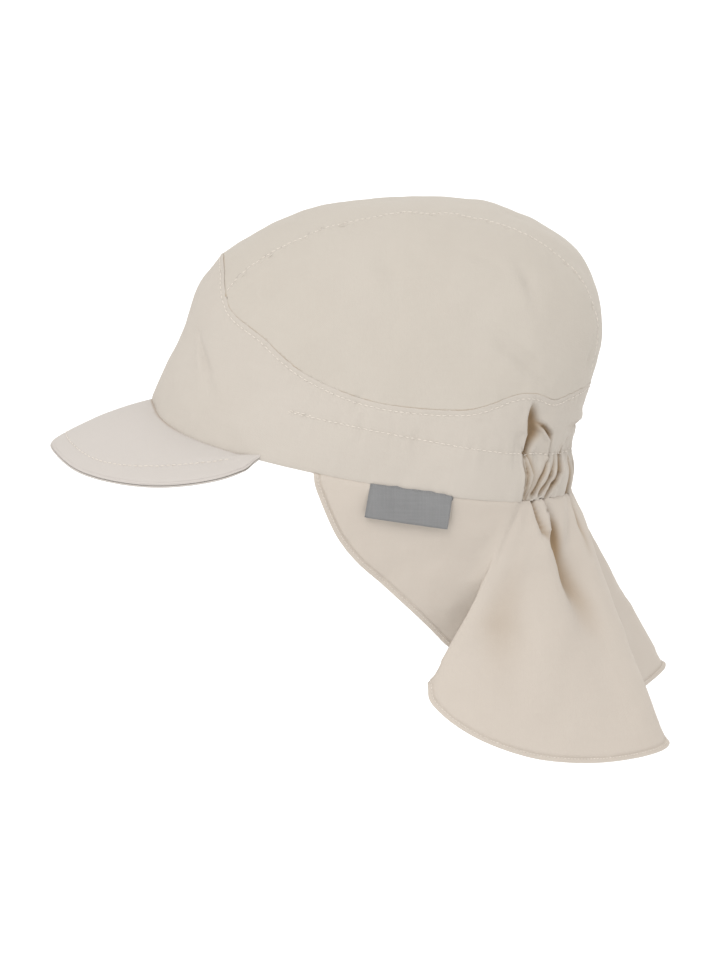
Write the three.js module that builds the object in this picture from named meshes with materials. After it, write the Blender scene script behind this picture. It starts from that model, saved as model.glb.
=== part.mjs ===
// A child's legionnaire cap in thin cotton, in the shape that it has when it is worn.
// Millimetres, +Z up. The front of the cap points along -X and the wearer's left is -Y.
// The origin is the middle of the head opening.
import * as THREE from 'three';

// Head opening and crown
const openingLength = 180;
const openingWidth = 144;
const widestBehindMiddle = 30;
const crownHeight = 108;
const rimDip = 5;
const wearTilt = THREE.MathUtils.degToRad(11.5);

// Cloth and the gaps at its seams
const clothThickness = 1.2;
const seamGap = 0.5;
const hangGap = 0.35;

// Front panel, band and top strip
const frontPanelHeight = 67;
const bandHeight = 33;
const stripHalfWidth = 31;

// Gathers of the elastic casing and the soft dents of the crown
const gatherDepth = 3.4;
const dentDepth = 1.6;

// Peak
const peakReach = 83.6;
const peakHalfWidth = 60;
const peakDrop = 26;
const peakArch = 2.2;
const peakEndRound = 128;
const peakUnderInset = 1;
const peakThickness = 1;

// Neck flap
const flapReach = 122;
const flapHalfWidth = 77;
const flapDrop = 120;
const flapBillow = 3;
const tuckShift = 10;
const hemWidth = 2.4;
const hemExtra = 0.5;

// Label in the seam below the band
const labelWidth = 32;
const labelHeight = 14;
const labelThickness = 1;
const labelRound = 97;
const labelLean = 0.1;
// How far the label's lower corners swing back, against the flap's slant
const labelSwingFront = 1.54;
const labelSwingBack = 4.34;

const halfTurn = 180;
const fullTurn = 360;
const degree = Math.PI / halfTurn;
const tiltAxis = new THREE.Vector3(0, 1, 0);
const halvings = 30;
const tiny = 1e-6;

// How far the cloth stands out at each height, as shares of the half ellipsoid over the opening
const profileRows = [
  { elevation: 0, front: 1.0, side: 1.0, back: 1.0 },
  { elevation: 6, front: 0.983, side: 1.0, back: 0.957 },
  { elevation: 11, front: 0.981, side: 1.0, back: 0.928 },
  { elevation: 14, front: 0.98, side: 1.003, back: 0.955 },
  { elevation: 17, front: 0.984, side: 1.008, back: 1.008 },
  { elevation: 22, front: 1.006, side: 1.02, back: 1.045 },
  { elevation: 27, front: 1.032, side: 1.035, back: 1.108 },
  { elevation: 32, front: 1.054, side: 1.05, back: 1.162 },
  { elevation: 38, front: 1.058, side: 1.068, back: 1.172 },
  { elevation: 45, front: 1.046, side: 1.08, back: 1.161 },
  { elevation: 55, front: 1.034, side: 1.078, back: 1.116 },
  { elevation: 67, front: 1.012, side: 1.05, back: 1.05 },
  { elevation: 78, front: 1.0, side: 1.02, back: 1.012 },
  { elevation: 90, front: 1.0, side: 1.0, back: 1.0 },
];

// How far the rim dips below its plane, round from the back (0) to the front (180 degrees),
// with one row past the front so that the line runs on smoothly there
const rimRows = [
  { round: 0, dip: 0 },
  { round: 42, dip: 0 },
  { round: 60, dip: 0.28 },
  { round: 90, dip: 0.62 },
  { round: 120, dip: 1.0 },
  { round: 143, dip: 1.0 },
  { round: 153, dip: 0.86 },
  { round: 165, dip: 0.32 },
  { round: 180, dip: -0.45 },
  { round: 195, dip: 0.32 },
];

// Height of the seam between band and crown: a share of the band's height, and of what the
// front panel adds to it, with one row past the front
const seamRows = [
  { round: 0, band: 1.36, panel: 0 },
  { round: 30, band: 1.36, panel: 0 },
  { round: 44, band: 1.26, panel: 0 },
  { round: 52, band: 1.2, panel: 0 },
  { round: 62, band: 1.26, panel: 0 },
  { round: 71, band: 1.22, panel: 0 },
  { round: 82, band: 1.05, panel: 0 },
  { round: 94, band: 0.9, panel: 0 },
  { round: 108, band: 0.82, panel: 0 },
  { round: 119, band: 0.88, panel: 0.01 },
  { round: 128, band: 1.0, panel: 0.02 },
  { round: 137, band: 1.0, panel: 0.24 },
  { round: 145, band: 1.0, panel: 0.35 },
  { round: 152, band: 1.0, panel: 0.45 },
  { round: 157, band: 1.0, panel: 0.61 },
  { round: 163, band: 1.0, panel: 0.83 },
  { round: 171, band: 1.0, panel: 0.96 },
  { round: 180, band: 1.0, panel: 1.0 },
  { round: 189, band: 1.0, panel: 0.96 },
];

// Half width of the top strip from its front end to its back end
const stripRows = [
  { along: 0, half: 0.87 },
  { along: 0.2, half: 0.93 },
  { along: 0.45, half: 1.01 },
  { along: 0.65, half: 1.1 },
  { along: 0.8, half: 1.06 },
  { along: 1, half: 0.96 },
];

// Folds that the elastic draws into the back of the band: the place of each fold at the rim,
// how far it leans by the seam, its width in degrees, its depth in the casing and above it
const gatherRows = [
  { round: 59, lean: 5, width: 2.6, casing: 0.45, above: 1.0 },
  { round: 53.5, lean: 2, width: 2.0, casing: 0.6, above: 0.12 },
  { round: 48, lean: 9, width: 2.6, casing: 0.5, above: 0.62 },
  { round: 42.5, lean: 6, width: 2.2, casing: 0.55, above: 0.2 },
  { round: 36, lean: 5, width: 2.4, casing: 0.5, above: 0.4 },
  { round: 28, lean: 3, width: 2.6, casing: 0.45, above: 0.25 },
  { round: 19, lean: 2, width: 2.6, casing: 0.5, above: 0.4 },
  { round: 10, lean: 1, width: 2.6, casing: 0.45, above: 0.25 },
  { round: 0, lean: 0, width: 2.6, casing: 0.5, above: 0.35 },
];

// Soft dents (positive) and ridges (negative) of the left side, with their turn from level
const dentRows = [
  { round: 72, elevation: 31, turn: -42, length: 18, width: 6, depth: -0.5 },
  { round: 82, elevation: 28, turn: -42, length: 14, width: 7, depth: 0.7 },
  { round: 147, elevation: 36, turn: 60, length: 8, width: 7, depth: 0.7 },
  { round: 163, elevation: 15, turn: 70, length: 9, width: 4, depth: 0.6 },
];

// Outer edge of the peak from its middle to its end, with one mirrored row before the middle
const peakRows = [
  { along: -0.15, side: -0.23, ahead: 0.965, drop: 0.9 },
  { along: 0, side: 0, ahead: 1.0, drop: 0.86 },
  { along: 0.15, side: 0.23, ahead: 0.965, drop: 0.9 },
  { along: 0.32, side: 0.5, ahead: 0.85, drop: 1.0 },
  { along: 0.5, side: 0.735, ahead: 0.65, drop: 0.96 },
  { along: 0.66, side: 0.89, ahead: 0.435, drop: 0.82 },
  { along: 0.82, side: 0.985, ahead: 0.2, drop: 0.53 },
  { along: 1, side: 0.965, ahead: 0.0, drop: 0.17 },
];

// Hem of the flap's left side from its front end to the middle of the back, where it hangs as
// a full lobe, with the place round the rim that each row hangs from on both sides
const hemRows = [
  { round: 117, back: -0.2, side: 0.835, drop: 0.042 },
  { round: 113, back: -0.172, side: 0.831, drop: 0.118 },
  { round: 107, back: -0.106, side: 0.805, drop: 0.255 },
  { round: 94, back: 0.075, side: 0.74, drop: 0.441 },
  { round: 72, back: 0.225, side: 0.655, drop: 0.6 },
  { round: 65.5, back: 0.25, side: 0.71, drop: 0.67 },
  { round: 61, back: 0.238, side: 0.83, drop: 0.735 },
  { round: 57, back: 0.265, side: 0.948, drop: 0.85 },
  { round: 48, back: 0.446, side: 1.0, drop: 0.944 },
  { round: 37, back: 0.639, side: 0.974, drop: 0.987 },
  { round: 27, back: 0.845, side: 0.87, drop: 1.0 },
  { round: 18, back: 0.998, side: 0.7, drop: 0.99 },
  { round: 9, back: 0.92, side: 0.34, drop: 0.975 },
  { round: 0, back: 0.87, side: 0.0, drop: 0.96 },
];

// Hem of the right side, which swings back, row for row from its front end
const rightHemRows = [
  { back: -0.2, side: 0.835, drop: 0.042 },
  { back: -0.17, side: 0.831, drop: 0.11 },
  { back: -0.1, side: 0.805, drop: 0.23 },
  { back: 0.09, side: 0.74, drop: 0.41 },
  { back: 0.27, side: 0.68, drop: 0.58 },
  { back: 0.34, side: 0.73, drop: 0.65 },
  { back: 0.4, side: 0.79, drop: 0.71 },
  { back: 0.48, side: 0.86, drop: 0.79 },
  { back: 0.62, side: 0.93, drop: 0.88 },
  { back: 0.78, side: 0.95, drop: 0.95 },
  { back: 0.99, side: 0.91, drop: 0.97 },
  { back: 1.165, side: 0.76, drop: 0.945 },
  { back: 1.05, side: 0.4, drop: 0.975 },
];

// Tuck beside the neck on the left side, where the cloth runs back and then forward again
const tuckRows = [
  { at: 5.0, width: 0.55, shift: 0.75 },
  { at: 6.2, width: 0.6, shift: -0.95 },
];

// Pleats of the flap below the casing: place along the hem rows, width in rows, depth,
// and the share of the fall where each is deepest and where it has gone
const pleatRows = [
  { at: 8.6, width: 0.3, depth: 1.0, deepest: 0.1, ends: 0.35 },
  { at: 9.7, width: 0.45, depth: 1.9, deepest: 0.2, ends: 0.85 },
  { at: 7.4, width: 0.9, depth: 0.9, deepest: 0.6, ends: 1.0 },
  { at: 12.0, width: 0.4, depth: 0.9, deepest: 0.2, ends: 0.6 },
];

// Smooth value of one column of a table, with slopes worked out from the neighbouring rows
function smoothColumn(rows, placeKey, key, place) {
  const last = rows.length - 1;
  const at = THREE.MathUtils.clamp(place, rows[0][placeKey], rows[last][placeKey]);
  let index = 0;
  while (index < last - 1 && at > rows[index + 1][placeKey]) {
    index += 1;
  }
  const slope = (row) => {
    const before = rows[Math.max(row - 1, 0)];
    const after = rows[Math.min(row + 1, last)];
    return (after[key] - before[key]) / (after[placeKey] - before[placeKey]);
  };
  const low = rows[index];
  const high = rows[index + 1];
  const span = high[placeKey] - low[placeKey];
  const share = (at - low[placeKey]) / span;
  const square = share * share;
  const cube = square * share;
  return (2 * cube - 3 * square + 1) * low[key]
    + (cube - 2 * square + share) * span * slope(index)
    + (3 * square - 2 * cube) * high[key]
    + (cube - square) * span * slope(index + 1);
}

function bell(distance, width) {
  return Math.exp(-((distance / width) ** 2));
}

// Unit direction from the middle of the opening: round in degrees from the back, positive
// towards the left side, and elevation in degrees above the rim
function direction(round, elevation) {
  const level = Math.cos(elevation * degree);
  return new THREE.Vector3(
    level * Math.cos(round * degree),
    -level * Math.sin(round * degree),
    Math.sin(elevation * degree),
  );
}

function roundOf(way) {
  return Math.atan2(-way.y, way.x) / degree;
}

function elevationOf(way) {
  return Math.asin(THREE.MathUtils.clamp(way.z, -1, 1)) / degree;
}

// Radius share of the cloth in one direction
function fullness(way) {
  const level = way.x * way.x + way.y * way.y;
  const elevation = elevationOf(way);
  if (level < tiny) {
    return profileRows[profileRows.length - 1].side;
  }
  const sideShare = way.y * way.y / level;
  const endKey = way.x > 0 ? 'back' : 'front';
  return sideShare * smoothColumn(profileRows, 'elevation', 'side', elevation)
    + (1 - sideShare) * smoothColumn(profileRows, 'elevation', endKey, elevation);
}

// How far the rim's dip lowers the cloth, fading out above the rim
function rimLower(round, elevation) {
  const dipEnds = 20;
  const fade = THREE.MathUtils.clamp(1 - elevation / dipEnds, 0, 1);
  return rimDip * smoothColumn(rimRows, 'round', 'dip', Math.abs(round)) * fade;
}

// Smooth cloth surface before folds and dents
function smoothPoint(way) {
  const radius = fullness(way);
  const halfLength = openingLength / 2 + (way.x > 0 ? -widestBehindMiddle : widestBehindMiddle);
  return new THREE.Vector3(
    widestBehindMiddle + radius * halfLength * way.x,
    radius * openingWidth / 2 * way.y,
    radius * crownHeight * way.z - rimLower(roundOf(way), elevationOf(way)),
  );
}

function outwardNormal(way) {
  const step = 0.004;
  const across = new THREE.Vector3(-way.y, way.x, 0);
  if (across.length() < tiny) {
    across.set(0, 1, 0);
  }
  across.normalize();
  const up = new THREE.Vector3().crossVectors(way, across);
  const along = (tangent, amount) => smoothPoint(way.clone().addScaledVector(tangent, amount).normalize());
  const first = along(across, step).sub(along(across, -step));
  const second = along(up, step).sub(along(up, -step));
  const normal = new THREE.Vector3().crossVectors(first, second).normalize();
  return normal.dot(way) < 0 ? normal.negate() : normal;
}

// Inward depth of the elastic's folds, height 0 at the rim and 1 at the seam
function gatherDepthAt(round, height) {
  const casingTop = 0.46;
  const casingBlend = 0.09;
  const seamFadeStart = 0.72;
  const aboveShare = THREE.MathUtils.smoothstep(height, casingTop - casingBlend, casingTop + casingBlend);
  const seamFade = 1 - THREE.MathUtils.smoothstep(height, seamFadeStart, 1);
  const angle = Math.abs(round);
  let depth = 0;
  for (const row of gatherRows) {
    const place = row.round + row.lean * height;
    const strength = row.casing * (1 - aboveShare) + row.above * aboveShare * seamFade;
    const width = row.width * (1 + aboveShare);
    depth += strength * bell(angle - place, width);
  }
  return gatherDepth * depth;
}

// Inward depth of the soft dents of the left side
function dentDepthAt(way) {
  const round = roundOf(way);
  const elevation = elevationOf(way);
  let depth = 0;
  for (const row of dentRows) {
    const across = (row.round - round) * Math.cos(elevation * degree);
    const up = elevation - row.elevation;
    const turn = row.turn * degree;
    const along = across * Math.cos(turn) + up * Math.sin(turn);
    const aside = up * Math.cos(turn) - across * Math.sin(turn);
    depth += row.depth * bell(along, row.length) * bell(aside, row.width);
  }
  return dentDepth * depth;
}

// Outer and inner points of the cloth in one direction, drawn in by a fold depth
function clothPair(way, foldDepth) {
  const normal = outwardNormal(way);
  const outer = smoothPoint(way).addScaledVector(normal, -foldDepth - dentDepthAt(way));
  const inner = outer.clone().addScaledVector(normal, -clothThickness);
  return { outer, inner };
}

// Seam between band and crown
function seamElevation(round) {
  const angle = Math.abs(round);
  const height = bandHeight * smoothColumn(seamRows, 'round', 'band', angle)
    + (frontPanelHeight - bandHeight) * smoothColumn(seamRows, 'round', 'panel', angle);
  const highestSeam = 80;
  let low = 0;
  let high = highestSeam;
  for (let turn = 0; turn < halvings; turn += 1) {
    const middle = (low + high) / 2;
    if (smoothPoint(direction(angle, middle)).z < height) {
      low = middle;
    } else {
      high = middle;
    }
  }
  return (low + high) / 2;
}

// Elevation of a line that keeps half a seam gap above (1) or below (-1) the seam
function besideSeam(round, side) {
  const step = 0.5;
  const middle = seamElevation(round);
  const before = smoothPoint(direction(round - step, seamElevation(round - step)));
  const after = smoothPoint(direction(round + step, seamElevation(round + step)));
  const level = Math.hypot(after.x - before.x, after.y - before.y);
  const steepness = Math.hypot(1, (after.z - before.z) / level);
  return middle + side * seamGap / 2 * steepness / crownHeight / degree;
}

// Closed solid between an outer and an inner grid of points. Rows go from bottom to top and
// columns run round the cap, and a ring joins its last column to its first.
function shellGeometry(grid, isRing) {
  const rows = grid.length;
  const columns = grid[0].length;
  const positions = [];
  for (const side of ['outer', 'inner']) {
    for (const row of grid) {
      for (const pair of row) {
        positions.push(pair[side].x, pair[side].y, pair[side].z);
      }
    }
  }
  const innerStart = rows * columns;
  const outer = (row, column) => row * columns + column % columns;
  const inner = (row, column) => innerStart + outer(row, column);
  const faces = [];
  const quad = (a, b, c, d) => faces.push(a, b, c, a, c, d);
  const columnCells = isRing ? columns : columns - 1;
  for (let column = 0; column < columnCells; column += 1) {
    const next = column + 1;
    for (let row = 0; row < rows - 1; row += 1) {
      quad(outer(row, column), outer(row, next), outer(row + 1, next), outer(row + 1, column));
      quad(inner(row, column), inner(row + 1, column), inner(row + 1, next), inner(row, next));
    }
    quad(outer(0, column), inner(0, column), inner(0, next), outer(0, next));
    quad(outer(rows - 1, column), outer(rows - 1, next), inner(rows - 1, next), inner(rows - 1, column));
  }
  if (!isRing) {
    for (let row = 0; row < rows - 1; row += 1) {
      const end = columns - 1;
      quad(outer(row, 0), outer(row + 1, 0), inner(row + 1, 0), inner(row, 0));
      quad(outer(row, end), inner(row, end), inner(row + 1, end), outer(row + 1, end));
    }
  }
  const geometry = new THREE.BufferGeometry();
  geometry.setAttribute('position', new THREE.Float32BufferAttribute(positions, 3));
  geometry.setIndex(signedVolume(positions, faces) > 0 ? faces : faces.reverse());
  geometry.computeVertexNormals();
  return geometry;
}

function signedVolume(positions, faces) {
  const corner = (index) => new THREE.Vector3().fromArray(positions, index * 3);
  let volume = 0;
  for (let start = 0; start < faces.length; start += 3) {
    const a = corner(faces[start]);
    const b = corner(faces[start + 1]);
    const c = corner(faces[start + 2]);
    volume += a.dot(b.cross(c)) / 6;
  }
  return volume;
}

// Places round the rim, closer together where the elastic gathers the cloth
function bandRounds() {
  const gatheredHalf = 70;
  const gatheredStep = 2;
  const plainColumns = 46;
  const rounds = [];
  for (let round = -gatheredHalf; round < gatheredHalf; round += gatheredStep) {
    rounds.push(round);
  }
  for (let column = 0; column < plainColumns; column += 1) {
    rounds.push(gatheredHalf + (fullTurn - 2 * gatheredHalf) * column / plainColumns);
  }
  return rounds.map((round) => (round > halfTurn ? round - fullTurn : round));
}

function bandGeometry() {
  const heights = [0, 0.12, 0.27, 0.4, 0.5, 0.62, 0.8, 1];
  const rounds = bandRounds();
  const tops = rounds.map((round) => besideSeam(round, -1));
  const grid = heights.map((height) => rounds.map((round, column) => (
    clothPair(direction(round, tops[column] * height), gatherDepthAt(round, height))
  )));
  return shellGeometry(grid, true);
}

// Direction on the top strip: pitch in degrees over the top from the back, lateral to the left
function stripDirection(pitch, lateral) {
  return new THREE.Vector3(
    Math.cos(lateral * degree) * Math.cos(pitch * degree),
    -Math.sin(lateral * degree),
    Math.cos(lateral * degree) * Math.sin(pitch * degree),
  );
}

// Pitch where a line of constant lateral angle meets the seam, at the front or the back
function stripEndPitch(lateral, isFront) {
  const overTop = 90;
  const lowestPitch = 5;
  let above = overTop;
  let below = isFront ? 2 * overTop - lowestPitch : lowestPitch;
  for (let turn = 0; turn < halvings; turn += 1) {
    const middle = (above + below) / 2;
    const way = stripDirection(middle, lateral);
    if (elevationOf(way) > besideSeam(roundOf(way), 1)) {
      above = middle;
    } else {
      below = middle;
    }
  }
  return (above + below) / 2;
}

// Lateral angle of a point that lies a given distance aside on the strip
function lateralFor(pitch, aside) {
  const corrections = 4;
  let lateral = 0;
  for (let turn = 0; turn < corrections; turn += 1) {
    const reach = openingWidth / 2 * fullness(stripDirection(pitch, lateral));
    lateral = Math.asin(THREE.MathUtils.clamp(aside / reach, -1, 1)) / degree;
  }
  return lateral;
}

// Direction on the strip, along from front (0) to back (1), across from right (-1) to left (1),
// with the edge moved outward by a margin
function stripWay(along, across, margin) {
  const frontPitchGuess = 150;
  const backPitchGuess = 25;
  const half = stripHalfWidth * smoothColumn(stripRows, 'along', 'half', along) + margin;
  const endLateral = (end) => {
    const endHalf = stripHalfWidth * smoothColumn(stripRows, 'along', 'half', end) + margin;
    return lateralFor(end === 0 ? frontPitchGuess : backPitchGuess, across * endHalf);
  };
  const frontPitch = stripEndPitch(endLateral(0), true);
  const backPitch = stripEndPitch(endLateral(1), false);
  const pitch = frontPitch + (backPitch - frontPitch) * along;
  return stripDirection(pitch, lateralFor(pitch, across * half));
}

function stripGeometry() {
  const lengthCells = 32;
  const widthCells = 6;
  const grid = [];
  for (let cross = 0; cross <= widthCells; cross += 1) {
    const across = 2 * cross / widthCells - 1;
    const line = [];
    for (let length = 0; length <= lengthCells; length += 1) {
      line.push(clothPair(stripWay(length / lengthCells, across, -seamGap / 2), 0));
    }
    grid.push(line);
  }
  return shellGeometry(grid, false);
}

// Side panel between the band's seam and the strip's edge; side 1 is left and -1 is right
function sidePanelGeometry(side) {
  const lengthCells = 30;
  const heightCells = 8;
  const cornerShare = 0.01;
  const frontRound = Math.abs(roundOf(stripWay(0, 1, seamGap / 2)));
  const backRound = Math.abs(roundOf(stripWay(1, 1, seamGap / 2)));
  const grid = [];
  for (let height = 0; height <= heightCells; height += 1) {
    grid.push([]);
  }
  for (let length = 0; length <= lengthCells; length += 1) {
    const share = cornerShare + (1 - 2 * cornerShare) * length / lengthCells;
    const round = frontRound + (backRound - frontRound) * share;
    const low = direction(side * round, besideSeam(round, 1));
    const high = stripWay(share, side, seamGap / 2);
    for (let height = 0; height <= heightCells; height += 1) {
      const way = low.clone().lerp(high, height / heightCells).normalize();
      grid[height].push(clothPair(way, 0));
    }
  }
  return shellGeometry(grid, false);
}

// Point of a peak layer: across from the right end (-1) to the left end (1), out from the
// rim (0) to the edge (1), how far below the upper face it lies, and how far in its edge is
function peakPoint(across, out, below, inset) {
  const archPower = 0.8;
  const side = across < 0 ? -1 : 1;
  const along = Math.abs(across);
  const round = halfTurn - along * (halfTurn - peakEndRound);
  const root = smoothPoint(direction(side * round, 0));
  root.z -= hangGap;
  const endX = smoothPoint(direction(peakEndRound, 0)).x;
  const edge = new THREE.Vector3(
    endX - peakReach * smoothColumn(peakRows, 'along', 'ahead', along),
    -side * peakHalfWidth * smoothColumn(peakRows, 'along', 'side', along),
    -peakDrop * smoothColumn(peakRows, 'along', 'drop', along),
  );
  const length = Math.max(root.distanceTo(edge), inset * 2);
  const point = root.lerp(edge, out * (1 - inset / length));
  point.z += peakArch * Math.sin(Math.PI * out ** archPower) * (1 - along * along) - below;
  return point;
}

function peakGeometry(below, inset) {
  const acrossCells = 26;
  const outCells = 5;
  const grid = [];
  for (let out = 0; out <= outCells; out += 1) {
    const line = [];
    for (let cross = 0; cross <= acrossCells; cross += 1) {
      const across = 2 * cross / acrossCells - 1;
      const outer = peakPoint(across, out / outCells, below, inset);
      const inner = peakPoint(across, out / outCells, below + peakThickness, inset);
      line.push({ outer, inner });
    }
    grid.push(line);
  }
  return shellGeometry(grid, false);
}

function tilted(point) {
  return point.applyAxisAngle(tiltAxis, wearTilt);
}

// Hem line as one smooth curve, from the left front end round the back to the right front end
function hemCurve() {
  const left = hemRows.map((row) => new THREE.Vector3(
    flapReach * row.back,
    -flapHalfWidth * row.side,
    -flapDrop * row.drop,
  ));
  const right = [...rightHemRows].reverse().map((row) => new THREE.Vector3(
    flapReach * row.back,
    flapHalfWidth * row.side,
    -flapDrop * row.drop,
  ));
  return new THREE.CatmullRomCurve3([...left, ...right], false, 'centripetal');
}

const hem = hemCurve();
const middleRow = hemRows.length - 1;
const roundRows = hemRows.map((row, index) => ({ index, round: row.round }));

// Place round the rim of a place along the hem, where the hem is counted in rows from the left
// front end round the back to the right front end
function roundOfPlace(place) {
  const isLeft = place <= middleRow;
  const round = smoothColumn(roundRows, 'index', 'round', isLeft ? place : 2 * middleRow - place);
  return isLeft ? round : -round;
}

// Top edge of the flap, the band's lower edge moved down by the gap
function flapTopPair(place) {
  const round = roundOfPlace(place);
  const pair = clothPair(direction(round, 0), gatherDepthAt(round, 0));
  pair.outer.z -= hangGap;
  pair.inner.z -= hangGap;
  return { outer: tilted(pair.outer), inner: tilted(pair.inner) };
}

// Middle of the flap's cloth: place counts the hem rows from the left front end round the
// back to the right front end, and fall goes from the rim (0) to the hem (1)
function flapMiddle(place, fall) {
  const isLeft = place <= middleRow;
  const rowPlace = isLeft ? place : 2 * middleRow - place;
  const way = direction(roundOfPlace(place), 0);
  const topPair = flapTopPair(place);
  const point = topPair.outer.lerp(topPair.inner, 0.5).lerp(hem.getPoint(place / middleRow / 2), fall);
  const outward = billowOut(place, fall) * flapBillow - pleatIn(rowPlace, fall);
  point.addScaledVector(tilted(outwardNormal(way)), outward);
  point.x += isLeft ? tuckBack(rowPlace, fall) : 0;
  return point;
}

// How far the tuck moves the cloth back (positive) or forward, growing towards the hem
function tuckBack(rowPlace, fall) {
  const tuckStart = 0.3;
  const strength = tuckShift * THREE.MathUtils.smoothstep(fall, tuckStart, 1);
  return tuckRows.reduce((sum, row) => sum + strength * row.shift * bell(rowPlace - row.at, row.width), 0);
}

// Share of the billow of the left lobe, close below the casing
function billowOut(place, fall) {
  const lobeRows = { starts: 6, full: 8.5, thins: 9.5, ends: 12 };
  const billowEnds = 0.28;
  const rise = THREE.MathUtils.smoothstep(place, lobeRows.starts, lobeRows.full);
  const fade = 1 - THREE.MathUtils.smoothstep(place, lobeRows.thins, lobeRows.ends);
  return rise * fade * Math.sin(Math.PI * Math.min(fall / billowEnds, 1));
}

function pleatIn(rowPlace, fall) {
  let depth = 0;
  for (const row of pleatRows) {
    const rise = THREE.MathUtils.smoothstep(fall, 0, row.deepest);
    const fade = 1 - THREE.MathUtils.smoothstep(fall, row.deepest, row.ends);
    depth += gatherDepth * row.depth * rise * fade * bell(rowPlace - row.at, row.width);
  }
  return depth;
}

// Outward normal of the flap. The narrow front ends take that of the first wider row.
function flapNormal(place, fall) {
  const step = 0.02;
  const at = THREE.MathUtils.clamp(place, 1, 2 * middleRow - 1);
  const above = Math.max(fall - step, 0);
  const below = Math.min(fall + step, 1);
  const across = flapMiddle(at + step, fall).sub(flapMiddle(at - step, fall));
  const down = flapMiddle(at, below).sub(flapMiddle(at, above));
  return new THREE.Vector3().crossVectors(down, across).normalize();
}

function flapPair(place, fall, halfThickness) {
  if (fall === 0) {
    return flapTopPair(place);
  }
  const middle = flapMiddle(place, fall);
  const normal = flapNormal(place, fall);
  return {
    outer: middle.clone().addScaledVector(normal, halfThickness),
    inner: middle.clone().addScaledVector(normal, -halfThickness),
  };
}

// Shares of the fall for one column of the flap: the plain rows, then the hem's step and fold
function columnFalls(length) {
  const plainRows = [0, 0.07, 0.15, 0.25, 0.37, 0.52, 0.68, 0.84];
  const hemStep = clothThickness / 4;
  const largestHemShare = 0.4;
  const largestStepShare = 0.05;
  const hemStart = 1 - Math.min(hemWidth / length, largestHemShare);
  const step = Math.min(hemStep / length, largestStepShare);
  const lastRow = plainRows[plainRows.length - 1];
  const squeeze = Math.min(1, (hemStart - 2 * step) / lastRow);
  const plain = plainRows.map((fall) => ({ fall: fall * squeeze, extra: 0 }));
  const folded = [
    { fall: hemStart - step, extra: 0 },
    { fall: hemStart, extra: hemExtra },
    { fall: 1, extra: hemExtra },
  ];
  return [...plain, ...folded];
}

function flapGeometry() {
  const cellsPerRow = 3;
  const columns = 2 * middleRow * cellsPerRow;
  const lines = [];
  for (let column = 0; column <= columns; column += 1) {
    const place = column / cellsPerRow;
    const length = flapMiddle(place, 0).distanceTo(flapMiddle(place, 1));
    lines.push(columnFalls(length).map((row) => (
      flapPair(place, row.fall, (clothThickness + row.extra) / 2)
    )));
  }
  const grid = lines[0].map((pair, row) => lines.map((line) => line[row]));
  return shellGeometry(grid, false);
}

// Place along the hem rows whose cloth hangs from a given place round the rim
function placeOfRound(round) {
  let place = 0;
  while (place < middleRow - 1 && hemRows[place + 1].round > round) {
    place += 1;
  }
  const high = hemRows[place];
  const low = hemRows[place + 1];
  return place + (high.round - round) / (high.round - low.round);
}

// Label that hangs from the band's lower edge, clear of the flap behind it
function labelGeometry() {
  const acrossCells = 8;
  const downCells = 3;
  const rimAt = (round) => tilted(smoothPoint(direction(round, 0)));
  const degreeLength = rimAt(labelRound).distanceTo(rimAt(labelRound - 1));
  const grid = [];
  for (let downStep = 0; downStep <= downCells; downStep += 1) {
    const down = labelHeight * downStep / downCells;
    const line = [];
    for (let cross = 0; cross <= acrossCells; cross += 1) {
      const across = cross / acrossCells;
      const swing = THREE.MathUtils.lerp(labelSwingFront, labelSwingBack, across) * down / labelHeight;
      const round = labelRound + (labelWidth * (0.5 - across) - swing) / degreeLength;
      const outward = tilted(outwardNormal(direction(round, 0)));
      const place = placeOfRound(round);
      const columnLength = flapMiddle(place, 0).distanceTo(flapMiddle(place, 1));
      const inner = flapMiddle(place, down / columnLength);
      inner.addScaledVector(outward, clothThickness / 2 + hangGap + labelLean * down);
      const outer = inner.clone().addScaledVector(outward, labelThickness);
      line.push({ outer, inner });
    }
    grid.push(line);
  }
  return shellGeometry(grid, false);
}

function clothMaterial(colour, roughness) {
  return new THREE.MeshStandardMaterial({ color: colour, roughness, metalness: 0 });
}

const crownCloth = clothMaterial(0xd9cfc3, 0.9);
const bandCloth = clothMaterial(0xd5cdc2, 0.9);
const peakCloth = clothMaterial(0xd7d0ca, 0.88);
const flapCloth = clothMaterial(0xd6cabc, 0.9);
const labelCloth = clothMaterial(0x919190, 0.8);

function namedMesh(name, geometry, material) {
  const mesh = new THREE.Mesh(geometry, material);
  mesh.name = name;
  return mesh;
}

// The tilted cap with the pieces that are sewn to its rim
function cap() {
  const group = new THREE.Group();
  group.rotation.y = wearTilt;
  group.add(
    namedMesh('crown_top_strip', stripGeometry(), crownCloth),
    namedMesh('crown_side_left', sidePanelGeometry(1), crownCloth),
    namedMesh('crown_side_right', sidePanelGeometry(-1), crownCloth),
    namedMesh('front_band', bandGeometry(), bandCloth),
    namedMesh('peak_top', peakGeometry(0, 0), peakCloth),
    namedMesh('peak_under', peakGeometry(peakThickness + hangGap, peakUnderInset), peakCloth),
  );
  return group;
}

const legionnaireCap = new THREE.Group();
legionnaireCap.add(
  cap(),
  namedMesh('neck_flap', flapGeometry(), flapCloth),
  namedMesh('side_label', labelGeometry(), labelCloth),
);

export default legionnaireCap;
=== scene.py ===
import math

import bmesh
import bpy
from mathutils import Matrix, Vector, noise
from mathutils.bvhtree import BVHTree
from mathutils.kdtree import KDTree


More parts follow.
